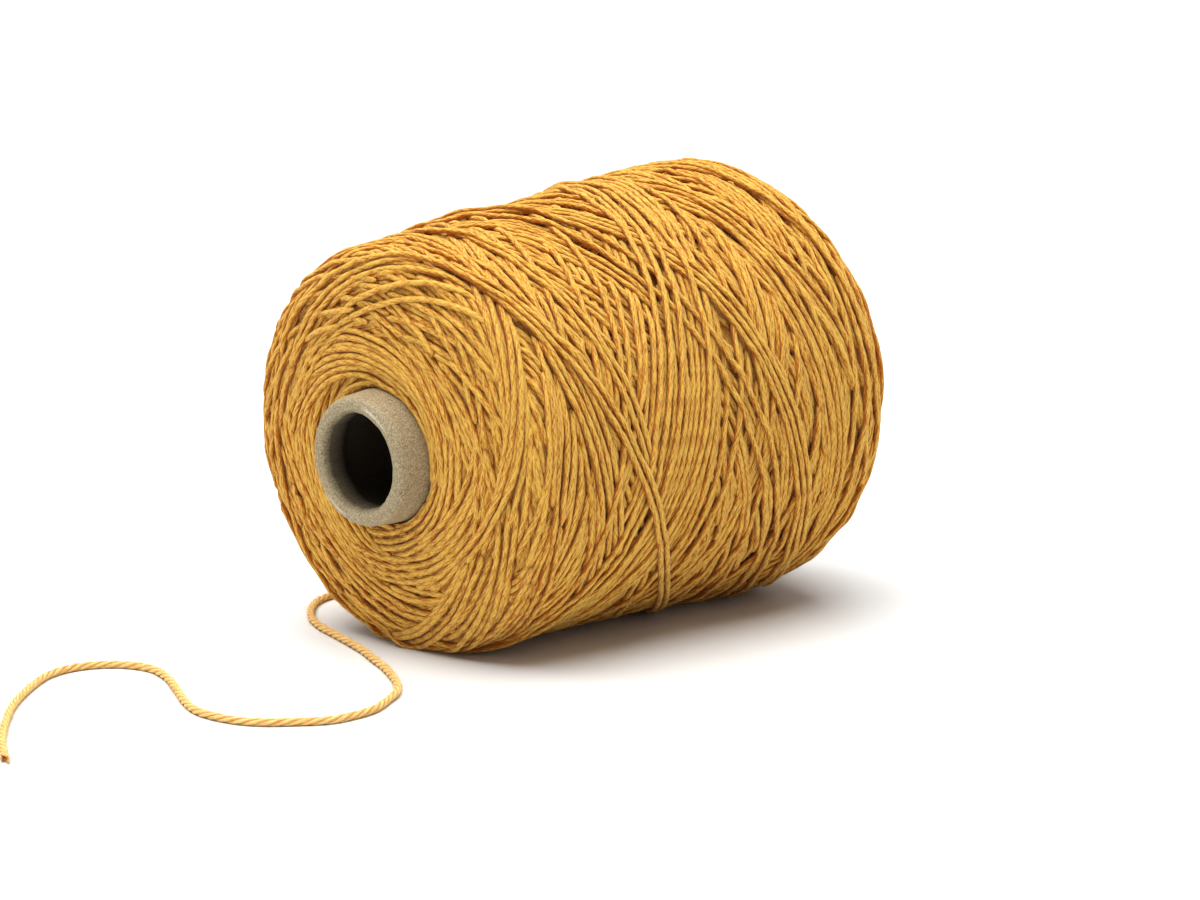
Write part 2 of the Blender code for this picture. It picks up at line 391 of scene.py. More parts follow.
FACE_STEPS = 40
NEAR_STEPS = 60
BODY_STEPS = 200
FAR_STEPS = 90


def core_radius(along):
    """Radius of the core's outside."""
    return CORE_RADIUS + along * tan(CONE_ANGLE)


def form_radius(along):
    """Radius of the plain wound form, without its end faces."""
    waist = WAIST * np.exp(-(((along - WAIST_PLACE) / WAIST_SPREAD) ** 2))
    return NEAR_RADIUS + tan(CONE_ANGLE) * (along - NEAR_ROUND) - waist


def form_line():
    """The form's outer line as rows of (radius, along), from the near core to the far core."""
    inner = core_radius(0) + GAP
    radius = np.linspace(inner, FACE_RADIUS, FACE_STEPS)[:-1]
    swell = -FACE_SWELL * np.sin(pi * (radius - inner) / (FACE_RADIUS - inner)) ** 2
    face = np.stack([radius, swell], 1)
    angle = np.linspace(0, pi / 2, NEAR_STEPS)[:-1]
    drop = form_radius(NEAR_ROUND) - FACE_RADIUS
    near = np.stack([FACE_RADIUS + drop * np.sin(angle), NEAR_ROUND * (1 - np.cos(angle))], 1)
    body_end = WOUND_LENGTH - FAR_ROUND
    along = np.linspace(NEAR_ROUND, body_end, BODY_STEPS)
    body = np.stack([form_radius(along), along], 1)
    angle = np.linspace(0, pi / 2, FAR_STEPS)[1:]
    last = form_radius(body_end)
    far = np.stack(
        [last - FAR_DROP * (1 - np.cos(angle)), body_end + FAR_ROUND * np.sin(angle)], 1
    )
    end = [[core_radius(WOUND_LENGTH) + GAP, WOUND_LENGTH]]
    return np.concatenate([face, near, body, far, end])


LINE = form_line()
OVER = np.concatenate([[0], np.cumsum(np.linalg.norm(np.diff(LINE, axis=0), axis=1))])
OVER_END = OVER[-1]
SLOPE = np.gradient(LINE, OVER, axis=0)
ROWS = int(OVER_END / CELL) + 2


def on_line(over, values):
    """Values of the outer line at distances over."""
    return np.interp(over, OVER, values)


def to_world(points):
    """Places on the upright cone, as it lies on the table."""
    turned = np.array(PLACE.to_3x3())
    return points @ turned.T + np.array(PLACE.translation)


def form_points(over, turn, height):
    """World places at a height over the form, and the form's outward direction there."""
    radius = on_line(over, LINE[:, 0])
    along = on_line(over, LINE[:, 1])
    rise = on_line(over, SLOPE[:, 0])
    run = on_line(over, SLOPE[:, 1])
    size = np.hypot(rise, run)
    out, back = run / size, -rise / size
    fade = 1 - np.clip(np.maximum(along, 0) / OVAL_REACH, 0, 1)
    radius = radius * (1 + OVAL / NEAR_RADIUS * np.cos(2 * (turn - OVAL_TURN)) * fade)
    normal = np.stack([out * np.cos(turn), out * np.sin(turn), back], -1)
    place = np.stack([radius * np.cos(turn), radius * np.sin(turn), along], -1)
    place = place + normal * np.asarray(height)[..., None]
    return to_world(place), normal @ np.array(PLACE.to_3x3()).T


# ---------------------------------------------------------------- laying the yarn


def blur(values, spread):
    """Smooth a row of values that stand STEP apart."""
    reach = int(3 * spread / STEP) + 1
    weights = np.exp(-0.5 * (np.arange(-reach, reach + 1) * STEP / spread) ** 2)
    return np.convolve(np.pad(values, reach, mode="edge"), weights / weights.sum(), mode="valid")


def taut(gone, seat, bridge):
    """The line of a taut strand over its seats: it spans hollows in a curve of the bridge's
    radius."""
    raised = seat - gone**2 / (2 * bridge)
    keep = [0]
    for k in range(1, len(gone)):
        while len(keep) > 1:
            a, b = keep[-2:]
            rise, run = raised[b] - raised[a], gone[b] - gone[a]
            if rise * (gone[k] - gone[a]) > (raised[k] - raised[a]) * run:
                break
            keep.pop()
        keep.append(k)
    return np.interp(gone, gone[keep], raised[keep]) + gone**2 / (2 * bridge)


class Package:
    """The wound form with a map of how high the yarn laid so far stands on it."""

    look_across = np.arange(-13, 14) * SLIP_STEP
    slips = np.arange(-5, 6) * SLIP_STEP
    print_across = np.linspace(-0.94, 0.94, 9) * HALF_WIDE

    def __init__(self):
        self.height = np.zeros((ROWS, TURN_CELLS), np.float32)
        self.strands = []
        self.edge = int(3 * LEVEL_SPREAD / CELL)
        down = np.fft.fftfreq(ROWS + 2 * self.edge) * LEVEL_SPREAD / CELL
        around = np.fft.rfftfreq(TURN_CELLS) * LEVEL_SPREAD * TURN_CELLS / (FULL * PATH_RADIUS)
        self.keep = np.exp(-2 * pi**2 * (down[:, None] ** 2 + around[None] ** 2))

    def cells(self, over, turn):
        """The map's cells at places, as rows and columns."""
        row = np.clip((over / CELL + 0.5).astype(int), 0, ROWS - 1)
        column = (turn / FULL * TURN_CELLS + 0.5).astype(int) % TURN_CELLS
        return row, column

    @staticmethod
    def heading(over, turn):
        """Radius and distance gone at each place of a path, and the shares of its direction that
        run round the core and over the surface."""
        radius = on_line(over, LINE[:, 0])
        up = np.gradient(over)
        aside = np.gradient(turn) * radius
        step = np.hypot(up, aside) + 1e-12
        gone = np.concatenate([[0], np.cumsum(step[1:])])
        return radius, gone, aside / step, up / step

    def beside(self, path, across):
        """Places at distances to the side of a path."""
        over, turn, radius, level, climb = path
        return (
            over[:, None] + across[None] * level[:, None],
            turn[:, None] - across[None] * (climb / radius)[:, None],
        )

    def lay(self, over, turn, tint, dive=0.0):
        """Lay one strand: let it slip into a groove, pull it taut and print it into the map."""
        radius, gone, level, climb = self.heading(over, turn)
        overs, turns = self.beside((over, turn, radius, level, climb), self.look_across)
        under = self.height[self.cells(overs, turns)]
        seats = []
        for slip in self.slips:
            off = (self.look_across - slip) / PACKED
            close = np.abs(off) < 1
            rest = under[:, close] + HALF_HIGH * np.sqrt(1 - off[close] ** 2)[None]
            seats.append(FIRM * rest.max(1) + (1 - FIRM) * rest.mean(1))
        seats = np.array(seats)
        cost = np.array([blur(row, COST_BLUR) for row in seats])
        cost += (GRIP / MM * self.slips**2)[:, None]
        slip = np.clip(blur(self.slips[np.argmin(cost, 0)], SLIP_BLUR), -SLIDE, SLIDE)
        over = over + slip * level
        turn = turn - slip * climb / radius
        low = np.clip(((slip - self.slips[0]) / SLIP_STEP).astype(int), 0, len(self.slips) - 2)
        share = (slip - self.slips[low]) / SLIP_STEP
        each = np.arange(len(over))
        seat = seats[low, each] * (1 - share) + seats[low + 1, each] * share
        height = blur(taut(gone, seat - SOFT - dive, BRIDGE), HEIGHT_BLUR)
        crown = HALF_HIGH * np.sqrt(1 - (self.print_across / HALF_WIDE) ** 2)
        top = height[:, None] + crown[None]
        overs, turns = self.beside((over, turn, radius, level, climb), self.print_across)
        for part in (0, 0.5):
            spot = [v[:-1] * (1 - part) + v[1:] * part for v in (overs, turns, top)]
            row, column = self.cells(spot[0], spot[1])
            tops = spot[2].ravel().astype(np.float32)
            np.maximum.at(self.height, (row.ravel(), column.ravel()), tops)
        self.strands.append((over, turn, height, tint))

    def press(self):
        """Press the yarn laid so far, as the next turns do: wide mounds sink level with the rest,
        and crossing strands bed into each other."""
        tall = np.pad(self.height, ((self.edge, self.edge), (0, 0)), mode="edge")
        mounds = np.fft.irfft2(np.fft.rfft2(tall) * self.keep, tall.shape)[self.edge:-self.edge]
        kept = np.exp(-np.maximum(mounds, 0) / YIELD)
        self.height = ((self.height - mounds) * kept).astype(np.float32)
        for over, turn, height, _ in self.strands:
            cells = self.cells(over, turn)
            height[:] = (height + HALF_HIGH - mounds[cells]) * kept[cells] - HALF_HIGH


DRIFT_WAVES = (22, 80)  # lengths of the waves in a strand's drift, in millimetres


def wander(draw, places, length, size):
    """A slow sideways drift of a strand, as a hand or a worn guide gives it."""
    part = np.linspace(0, 1, places)
    drift = np.zeros(places)
    for _ in range(3):
        wave = draw.uniform(*DRIFT_WAVES) * MM
        drift += size * 0.45 * np.sin(FULL * (part * length / wave + draw.uniform()))
    return drift


def tucked(off_middle, start, reach):
    """How deep a strand's ends dive, from a share of its half length on."""
    return TUCK * np.clip((off_middle - start) / reach, 0, 1) ** 2


SHADES = (-0.1, 0.1)  # by which whole strands differ
FACE_TUCK = (0.8, 0.2)  # where a face strand starts to dive, and over what share of its half length
FACE_CLEAR = 1.0 * MM  # left free beside the core

# Arcs on the end faces: the distances over between which they lie, at the large end counted from
# its core; how many; and of each, in millimetres, its length and its pitch to the strand beside it.
# Pairs are ranges of the random draws, and a number of strands stays below its second one.
NEAR_ARC_RING = (1.5 * MM, 33 * MM)
FAR_ARC_RING = (1.5 * MM, 26 * MM)
NEAR_ARCS = 300
FAR_ARCS = 200
ARC_LENGTHS = (36, 100)
ARC_PITCHES = (1.75, 2.3)
ARC_STRANDS = (1, 6)
ARC_LEAN = 0.42
ARC_BOWS = (0.05, 0.5)
ARC_CROWDING = 0.8  # below 1, the first arcs lie further apart than the last
ARC_STARTS = (-0.15, 0.15)
ARC_WANDER = 0.2 * MM
ARCS_TO_PRESS = 40


def lay_face_arcs(package, draw, low, high, count, outward):
    """Strands that show on an end face: parts of turns whose ends dive under their neighbours."""
    done = 0
    while done < count:
        rank = ((done + draw.uniform()) / count) ** ARC_CROWDING
        middle = low + (high - low) * rank if outward else high - (high - low) * rank
        radius = on_line(middle, LINE[:, 0])
        length = draw.uniform(*ARC_LENGTHS) * MM
        lean = draw.uniform(-1, 1) * ARC_LEAN * length / 2
        bow = draw.uniform(*ARC_BOWS) * length / 4 * (1 if outward else -1)
        start = draw.uniform(0, FULL)
        pitch = draw.uniform(*ARC_PITCHES) * MM
        for row in range(int(draw.integers(*ARC_STRANDS))):
            part = np.linspace(-1, 1, int(length / STEP))
            over = middle + row * pitch + lean * part + bow * part**2
            over = over + wander(draw, len(part), length, ARC_WANDER)
            over = np.clip(over, FACE_CLEAR, OVER_END - FACE_CLEAR)
            turn = start + draw.uniform(*ARC_STARTS) + length / radius * (part + 1) / 2
            package.lay(over, turn, draw.uniform(*SHADES), tucked(np.abs(part), *FACE_TUCK))
            done += 1
            if done % ARCS_TO_PRESS == 0:
                package.press()


# Courses on the small end's face, with the same measures.
COURSE_RING = (2.0 * MM, 27 * MM)
COURSE_LENGTHS = (38, 80)
COURSE_PITCHES = (1.8, 2.05)
COURSE_STRANDS = (3, 6)
COURSE_LEANS = (0.1, 0.36)
COURSE_BOWS = (0.1, 0.4)
COURSE_STARTS = (-0.1, 0.1)
COURSE_WANDER = 0.15 * MM
COURSE_STRIDES = (0.55, 0.8)  # share of a bundle's length after which the next one starts
COURSE_OVERLAP = 0.8  # share of a bundle's width after which the next ring starts


def lay_face_courses(package, draw, low, high):
    """The last turns on the small end's face: bundles side by side, each of which runs a stretch
    round the core and then goes under the next one."""
    middle = low
    while middle < high:
        strands = int(draw.integers(*COURSE_STRANDS))
        pitch = draw.uniform(*COURSE_PITCHES) * MM
        radius = on_line(middle, LINE[:, 0])
        start = draw.uniform(0, FULL)
        gone = 0
        side = draw.choice([-1, 1])
        while gone < FULL:
            length = draw.uniform(*COURSE_LENGTHS) * MM
            lean = side * draw.uniform(*COURSE_LEANS) * length / 2
            bow = draw.uniform(*COURSE_BOWS) * length / 4
            for row in range(strands):
                part = np.linspace(-1, 1, int(length / STEP))
                over = middle + row * pitch + lean * part + bow * part**2
                over = over + wander(draw, len(part), length, COURSE_WANDER)
                over = np.maximum(over, FACE_CLEAR)
                begin = start + gone + draw.uniform(*COURSE_STARTS)
                turn = begin + length / radius * (part + 1) / 2
                package.lay(over, turn, draw.uniform(*SHADES), tucked(np.abs(part), *FACE_TUCK))
            gone += length / radius * draw.uniform(*COURSE_STRIDES)
        middle += strands * pitch * COURSE_OVERLAP


# Laps to and fro over the body: where they turn back at each end, which is more often near the
# first place of each pair, and what part of them lies in touching rows.
LAPS = 190
NEAR_TURNS = (18.0 * MM, 60.0 * MM)
NEAR_CROWDING = 1.3
FAR_TURNS = (190.0 * MM, 112.0 * MM)
FAR_CROWDING = 1.6
END_CLEAR = 3 * MM
TURN_SPREAD = 2.2
TOUCHING = 0.4
TOUCHING_PITCHES = (1.6, 1.85)
TOUCHING_LAPS = (2, 7)
OPEN_PITCHES = (2.4, 4.8)
OPEN_LAPS = (1, 5)
TURNS_A_LAP = [2, 2, 3, 3, 4]
SHARES_THERE = (0.42, 0.54)  # of a lap's turns that its way there takes
LEVEL_OUT = 0.75  # below 1, the strokes are steep near the small end and level out far from it
LAP_WANDER = 0.25 * MM
LAPS_TO_PRESS = 2
GOLDEN = (5**0.5 - 1) / 2  # spreads the places where the groups turn back evenly


def lay_laps(package, draw, laps):
    """The last laps of the winding, to and fro: strands side by side, in open rows or alone."""
    done = 0
    group = 0
    while done < laps:
        group += 1
        near_rank = ((group * GOLDEN) % 1) ** NEAR_CROWDING
        far_rank = ((group * GOLDEN**2 + 0.3) % 1) ** FAR_CROWDING
        near = NEAR_TURNS[0] + (NEAR_TURNS[1] - NEAR_TURNS[0]) * near_rank
        far = FAR_TURNS[0] - (FAR_TURNS[0] - FAR_TURNS[1]) * far_rank
        touching = draw.uniform() < TOUCHING
        pitch = draw.uniform(*(TOUCHING_PITCHES if touching else OPEN_PITCHES)) * MM
        count = int(draw.integers(*(TOUCHING_LAPS if touching else OPEN_LAPS)))
        there_and_back = FULL * draw.choice(TURNS_A_LAP)
        there = there_and_back * draw.uniform(*SHARES_THERE)
        steep = pi / 2 * (far - near) / (there * PATH_RADIUS)
        side = draw.choice([-1, 1])
        advance = side * pitch * np.hypot(1, steep) / steep / PATH_RADIUS
        back = there_and_back - there + advance
        turn = draw.uniform(0, FULL)
        low = near
        for _ in range(count):
            next_low = near + draw.normal(0, TURN_SPREAD) * MM
            high = min(far + draw.normal(0, TURN_SPREAD) * MM, OVER_END - END_CLEAR)
            for low_end, sweep, away in ((low, there, True), (next_low, back, False)):
                length = sweep * PATH_RADIUS
                part = np.linspace(0, 1, int(length / STEP))
                out = (part if away else 1 - part) ** LEVEL_OUT
                over = low_end + (high - low_end) * (1 - np.cos(pi * out)) / 2
                over = over + wander(draw, len(part), length, LAP_WANDER)
                package.lay(over, turn + sweep * part, draw.uniform(*SHADES))
                turn += sweep
            low = next_low
            done += 1
            if done % LAPS_TO_PRESS == 0:
                package.press()


# The last strokes, which cross over all the rest: how many strands lie side by side, how far apart,
# and the places that the first one passes, as degrees up from below on the camera's side and
# millimetres along.
LAST_STROKES = [
    (8, 1.75, [
        (-20, 4), (20, 24), (55, 38), (90, 50), (120, 59), (160, 72), (200, 86), (240, 98),
    ]),
    (3, 1.9, [
        (250, 18), (205, 40), (170, 55), (150, 66), (128, 76), (105, 85), (75, 96), (20, 116),
    ]),
    (2, 4.5, [(215, 36), (175, 48), (140, 58), (118, 66), (90, 78), (60, 90), (0, 112)]),
    (3, 3.4, [
        (-10, 2), (35, 20), (62, 33), (80, 40), (97, 45.5), (122, 56), (140, 62), (160, 69),
        (190, 80), (240, 98),
    ]),
    (1, 2.0, [(30, 34), (60, 50), (85, 60), (110, 68), (150, 78), (188, 84), (235, 104)]),
    (2, 1.9, [
        (165, 8), (150, 11), (125, 20), (103, 30), (76, 42), (62, 50), (45, 60), (25, 75),
        (-15, 98), (-60, 116),
    ]),
]
STROKE_SLANT = 1.1  # length of a stroke, and its strands' distance over, for their slant
STROKE_BLUR = 9 * MM
STROKE_TUCK = (0.93, 0.07)
STROKE_WANDER = 0.2 * MM
STROKE_SHADES = (-0.05, 0.1)
WIDE_STROKE = 3  # a stroke of more strands than this is pressed at once


def lay_last_strokes(package, draw):
    """Lay the strokes of the table one by one, with their ends pushed under their neighbours."""
    for strands, pitch, places in LAST_STROKES:
        turns = -np.radians([turn for turn, _ in places])
        alongs = np.array([along for _, along in places]) * MM
        length = abs(turns[-1] - turns[0]) * PATH_RADIUS * STROKE_SLANT
        part = np.linspace(0, 1, int(length / STEP))
        turn = turns[0] + (turns[-1] - turns[0]) * part
        order = np.argsort(turns)
        along = blur(np.interp(turn, turns[order], alongs[order]), STROKE_BLUR)
        first = np.interp(along, LINE[:, 1], OVER)
        dive = tucked(np.abs(2 * part - 1), *STROKE_TUCK)
        for row in range(strands):
            drift = wander(draw, len(part), length, STROKE_WANDER)
            over = first + STROKE_SLANT * row * pitch * MM + drift
            package.lay(over, turn, draw.uniform(*STROKE_SHADES), dive)
        if strands > WIDE_STROKE:
            package.press()


# ---------------------------------------------------------------- meshes


def unit(rows):
    """Directions one long."""
    return rows / np.linalg.norm(rows, axis=1, keepdims=True)


def ring_quads(rows, around):
    """Corner numbers of the quads between rings of points, ring after ring."""
    ring = np.arange(around)
    after = (ring + 1) % around
    row = np.arange(rows - 1)[:, None] * around
    return np.stack([row + ring, row + after, row + around + after, row + around + ring], -1)


def mesh_from(name, points, loops, corners, uvs=None, values=None):
    """A mesh from corner numbers in a row, of faces with as many corners as the list says, with a
    map of the strand's turn and length and with values at its points."""
    mesh = bpy.data.meshes.new(name)
    mesh.vertices.add(len(points))
    mesh.vertices.foreach_set("co", np.asarray(points, np.float32).ravel())
    mesh.loops.add(len(loops))
    mesh.loops.foreach_set("vertex_index", np.asarray(loops, np.int32))
    mesh.polygons.add(len(corners))
    starts = np.concatenate([[0], np.cumsum(corners)[:-1]])
    mesh.polygons.foreach_set("loop_start", starts.astype(np.int32))
    mesh.update(calc_edges=True)
    if uvs is not None:
        layer = mesh.uv_layers.new(name="strand")
        layer.data.foreach_set("uv", np.asarray(uvs, np.float32).ravel())
    for key, rows in (values or {}).items():
        rows = np.asarray(rows, np.float32)
        if rows.ndim == 2:
            made = mesh.attributes.new(key, "FLOAT_VECTOR", "POINT")
            made.data.foreach_set("vector", rows.ravel())
        else:
            made = mesh.attributes.new(key, "FLOAT", "POINT")
            made.data.foreach_set("value", rows)
    mesh.shade_smooth()
    return mesh


def tubes(name, runs, columns):
    """Strands as closed tubes.  A run is its places, outward directions, half sizes, the distance
    gone at each place and a tint.  The map's first number goes round with the plies."""
    points, loops, corners, uvs, lies, tints_and_shades = [], [], [], [], [], []
    first = 0
    ring = np.arange(columns)
    after = (ring + 1) % columns
    for places, ups, wide, high, gone, tint in runs:
        count = len(places)
        tangent = unit(np.gradient(places, axis=0))
        aside = unit(np.cross(ups, tangent))
        up = np.cross(tangent, aside)
        angle = np.broadcast_to(FULL * ring / columns, (count, columns))
        taper = np.ones(count)
        taper[[0, -1]] = END_SHARE
        x = np.cos(angle) * (wide * taper)[:, None]
        y = np.sin(angle) * (high * taper)[:, None]
        body = places[:, None] + aside[:, None] * x[..., None] + up[:, None] * y[..., None]
        begin = places[0] - tangent[0] * high[0] * TIP_SHARE
        end = places[-1] + tangent[-1] * high[-1] * TIP_SHARE
        points += [body.reshape(-1, 3), np.stack([begin, end])]
        slant = angle - FULL * gone[:, None] / FIBRE_LAY
        far = np.repeat(gone[:, None], columns, 1)
        lie = np.stack([np.cos(slant) * HALF_WIDE, np.sin(slant) * HALF_WIDE, far], -1)
        lies += [lie.reshape(-1, 3), np.array([[0, 0, gone[0]], [0, 0, gone[-1]]])]
        # Painted shade: a strand's low sides and the tips of its caps take the darker colour, as
        # the shade between strands.
        shade = tint - SIDE_SHADE * np.clip((0.85 - np.sin(angle)) / 0.7, 0, 1)
        tints_and_shades.append(np.append(shade.ravel(), [tint - SIDE_SHADE, tint - SIDE_SHADE]))
        loops.append((ring_quads(count, columns) + first).ravel())
        corners.append(np.full((count - 1) * columns, 4))
        v = gone / (10 * MM)
        v0 = np.broadcast_to(v[:-1, None], (count - 1, columns))
        v1 = np.broadcast_to(v[1:, None], (count - 1, columns))
        u = ring / columns + gone[:, None] / LAY
        u0, u1 = u[:-1], u[1:]
        w = 1 / columns
        uvs.append(np.stack([u0, v0, u0 + w, v0, u1 + w, v1, u1, v1], -1).reshape(-1, 2))
        last = first + (count - 1) * columns
        tip = first + count * columns
        caps = np.concatenate([
            np.stack([np.full(columns, tip), first + after, first + ring], -1),
            np.stack([np.full(columns, tip + 1), last + ring, last + after], -1),
        ])
        loops.append(caps.ravel())
        corners.append(np.full(2 * columns, 3))
        cap_u = np.concatenate([ring, ring]) / columns
        cap_v = np.repeat([v[0], v[-1]], columns)
        uvs.append(np.repeat(np.stack([cap_u, cap_v], -1), 3, axis=0))
        first = tip + 2
    return mesh_from(
        name,
        np.concatenate(points),
        np.concatenate(loops),
        np.concatenate(corners),
        np.concatenate(uvs),
        {"lie": np.concatenate(lies), "tint": np.concatenate(tints_and_shades)},
    )


def add_piece(name, mesh, finish, slot, *replaced):
    """Put a mesh on the body as a piece, in the place of the solids that it replaces."""
    piece = bpy.data.objects.new(name, mesh)
    bpy.context.scene.collection.objects.link(piece)
    mesh.materials.append(finish)
    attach(piece, BODY)
    if replaced:
        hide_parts(*replaced)
    return piece


def seen_runs(package):
    """The stretches of each strand that nothing covers, as runs of rings for tubes()."""
    stretches = []
    across = np.linspace(-0.85, 0.85, 7) * HALF_WIDE
    crown = HALF_HIGH * np.sqrt(1 - (across / HALF_WIDE) ** 2)
    grow = int(SEEN_MARGIN / STEP)
    for strand in package.strands:
        over, turn, height, _ = strand
        radius, gone, level, climb = package.heading(over, turn)
        overs, turns = package.beside((over, turn, radius, level, climb), across)
        cover = package.height[package.cells(overs, turns)] - height[:, None] - crown[None]
        seen = np.convolve(cover.min(1) < SEEN_ABOVE, np.ones(2 * grow + 1), mode="same") > 0
        edges = np.flatnonzero(np.diff(np.concatenate([[0], seen.astype(int), [0]])))
        stretches += [(strand, gone, begin, end) for begin, end in zip(edges[::2], edges[1::2])]
    total = sum(gone[end - 1] - gone[begin] for _, gone, begin, end in stretches)
    spacing = max(FINEST_RING, 2 * COLUMNS * total / STRAND_TRIANGLES)
    runs = []
    for (over, turn, height, tint), gone, begin, end in stretches:
        length = gone[end - 1] - gone[begin]
        if length < SHORTEST:
            continue
        rings = max(int(length / spacing), 3)
        at = np.linspace(gone[begin], gone[end - 1], rings + 1)
        overs = np.interp(at, gone, over)
        lifted = np.interp(at, gone, height) + np.interp(overs, LIFT_OVER, LIFT)
        places, ups = form_points(overs, np.interp(at, gone, turn), lifted)
        places[:, 2] = np.maximum(places[:, 2], HALF_HIGH)
        slow = np.sin(FULL * (at / SLUB_LENGTHS[0] + 9 * tint))
        quick = np.sin(FULL * at / SLUB_LENGTHS[1])
        size = 1 + SLUB * (slow + quick)
        runs.append((places, ups, HALF_WIDE * size, HALF_HIGH * size, at, tint))
    return runs


def split_runs(runs, columns, most):
    """Share runs out so that each share stays under a number of triangles."""
    shares = [[]]
    used = 0
    for run in runs:
        cost = 2 * columns * len(run[0])
        if used + cost > most:
            shares.append([])
            used = 0
        shares[-1].append(run)
        used += cost
    return shares


def bed_mesh(package):
    """The older yarn under the last laps, as one skin low in the hollows of the map, painted darker
    as shade.
    """
    high, wide = BED_CELLS
    rows = np.arange(0, ROWS, high)
    columns = np.arange(0, TURN_CELLS, wide)
    low = np.array([
        [package.height[r:r + high, c:c + wide].min() for c in columns] for r in rows
    ])
    grid_over = np.clip(rows * CELL, 0, OVER_END)
    grid_turn = columns * FULL / TURN_CELLS
    overs, turns = np.meshgrid(grid_over, grid_turn, indexing="ij")
    raised = np.minimum(low + np.interp(overs, LIFT_OVER, LIFT) - BED_DEEP, BED_TOP)
    places, _ = form_points(overs, turns, raised)
    places[..., 2] = np.maximum(places[..., 2], BED_LOWEST)
    count, around = overs.shape
    strands = grid_over[:, None] / (2 * HALF_WIDE) / PLIES
    u0 = np.broadcast_to(strands[:-1], (count - 1, around))
    u1 = np.broadcast_to(strands[1:], (count - 1, around))
    v0 = np.broadcast_to(np.arange(around) / around, u0.shape)
    v1 = v0 + 1 / around
    uvs = np.stack([u0, v0, u0, v1, u1, v1, u1, v0], -1).reshape(-1, 2)
    lie = np.stack([np.zeros_like(overs), overs, turns * PATH_RADIUS], -1).reshape(-1, 3)
    return mesh_from(
        "yarn_bed", places.reshape(-1, 3), ring_quads(count, around).ravel(),
        np.full((count - 1) * around, 4), uvs,
        {"lie": lie, "tint": np.full(count * around, BED_SHADE)},
    )


def fuzz_mesh(name, draw, runs, count):
    """Fine stray fibres standing off the strands, as thin closed spikes."""
    places = np.concatenate([run[0][1:-1] for run in runs])
    forward = np.concatenate([run[0][2:] - run[0][:-2] for run in runs])
    chosen = draw.integers(0, len(places), count)
    up = np.concatenate([run[1][1:-1] for run in runs])[chosen]
    forward = unit(forward[chosen])
    aside = np.cross(up, forward)
    lean = draw.uniform(-1.1, 1.1, (count, 1))
    out = up * np.cos(lean) + aside * np.sin(lean)
    high = np.concatenate([run[3][1:-1] for run in runs])[chosen]
    root = places[chosen] + out * high[:, None] * 0.85
    root[:, 2] = np.maximum(root[:, 2], FUZZ_LOWEST)
    rise = draw.uniform(0.2, 1.0, (count, 1))
    ahead = forward * draw.normal(0, 1, (count, 1))
    way = unit(ahead + out * rise + aside * draw.normal(0, 0.5, (count, 1)))
    tip = root + way * draw.uniform(*FUZZ_LENGTHS, (count, 1)) * MM
    tip[:, 2] = np.maximum(tip[:, 2], FUZZ_LOWEST)
    across = unit(np.cross(way, draw.normal(0, 1, (count, 3))))
    other = np.cross(way, across)
    thick = draw.uniform(*FUZZ_THICKNESSES, (count, 1)) * MM
    thirds = (0, FULL / 3, 2 * FULL / 3)
    corners = [root + (across * cos(third) + other * sin(third)) * thick for third in thirds]
    points = np.stack(corners + [tip], 1).reshape(-1, 3)
    loops = 4 * np.arange(count)[:, None] + np.array([0, 1, 3, 1, 2, 3, 2, 0, 3, 2, 1, 0])
    return mesh_from(
        name, points, loops.ravel(), np.full(4 * count, 3), np.full((12 * count, 2), 0.125),
        {"lie": points, "tint": np.full(len(points), FUZZ_TINT)},
    )


# ---------------------------------------------------------------- the loose end


def smooth_route(points, spacing):
    """Places a spacing apart along a smooth curve through the points."""
    route = np.array(points, float)
    before, after = [2 * route[0] - route[1]], [2 * route[-1] - route[-2]]
    route = np.concatenate([before, route, after])
    part = np.linspace(0, 1, ROUTE_FINENESS, endpoint=False)[:, None]
    fine = []
    for a, b, c, d in zip(route, route[1:], route[2:], route[3:]):
        fine.append(
            0.5 * (2 * b + (c - a) * part + (2 * a - 5 * b + 4 * c - d) * part**2
                   + (3 * b - a - 3 * c + d) * part**3)
        )
    fine = np.concatenate(fine + [route[-2:-1]])
    gone = np.concatenate([[0], np.cumsum(np.linalg.norm(np.diff(fine, axis=0), axis=1))])
    wanted = np.linspace(0, gone[-1], int(gone[-1] / spacing) + 1)
    return np.stack([np.interp(wanted, gone, fine[:, k]) for k in range(2)], axis=1), wanted


def make_loose_end(finish):
    """The loose end: four plies round the route, opening a little at the cut, and its fuzz."""
    flat, gone = smooth_route(LOOSE_ROUTE, ROUTE_STEP)
    flat = flat * MM
    gone = gone * MM
    places = np.concatenate([flat, np.full((len(flat), 1), CORD_RADIUS + CORD_CLEAR)], 1)
    length = gone[-1]
    ups = np.tile([0.0, 0.0, 1.0], (len(places), 1))
    aside = np.cross(ups, unit(np.gradient(places, axis=0)))
    left = np.clip((length - gone) / CUT_LENGTH, 0, 1)
    spread = PLY_SPREAD * (1 + 0.9 * (1 - left) ** 2)
    runs = []
    for ply in range(PLIES):
        angle = FULL * ply / PLIES - FULL * gone / LOOSE_LAY
        out = aside * np.cos(angle)[:, None] + ups * np.sin(angle)[:, None]
        centre = places + out * spread[:, None]
        centre[:, 2] = np.maximum(centre[:, 2], PLY_LOWEST)
        cut = len(centre) - int(ply * 1.5)
        size = PLY_RADIUS * (0.75 + 0.25 * left)
        runs.append((centre[:cut], out[:cut], size[:cut], size[:cut], gone[:cut], LOOSE_TINT))
    mesh = tubes("loose_yarn", runs, PLY_COLUMNS)
    piece = add_piece("loose_yarn", mesh, finish, "yarn", "loose_end")
    fuzz = fuzz_mesh("loose_fuzz", np.random.default_rng(LOOSE_SEED), runs, LOOSE_FUZZ_COUNT)
    add_piece("loose_fuzz", fuzz, finish, "yarn")


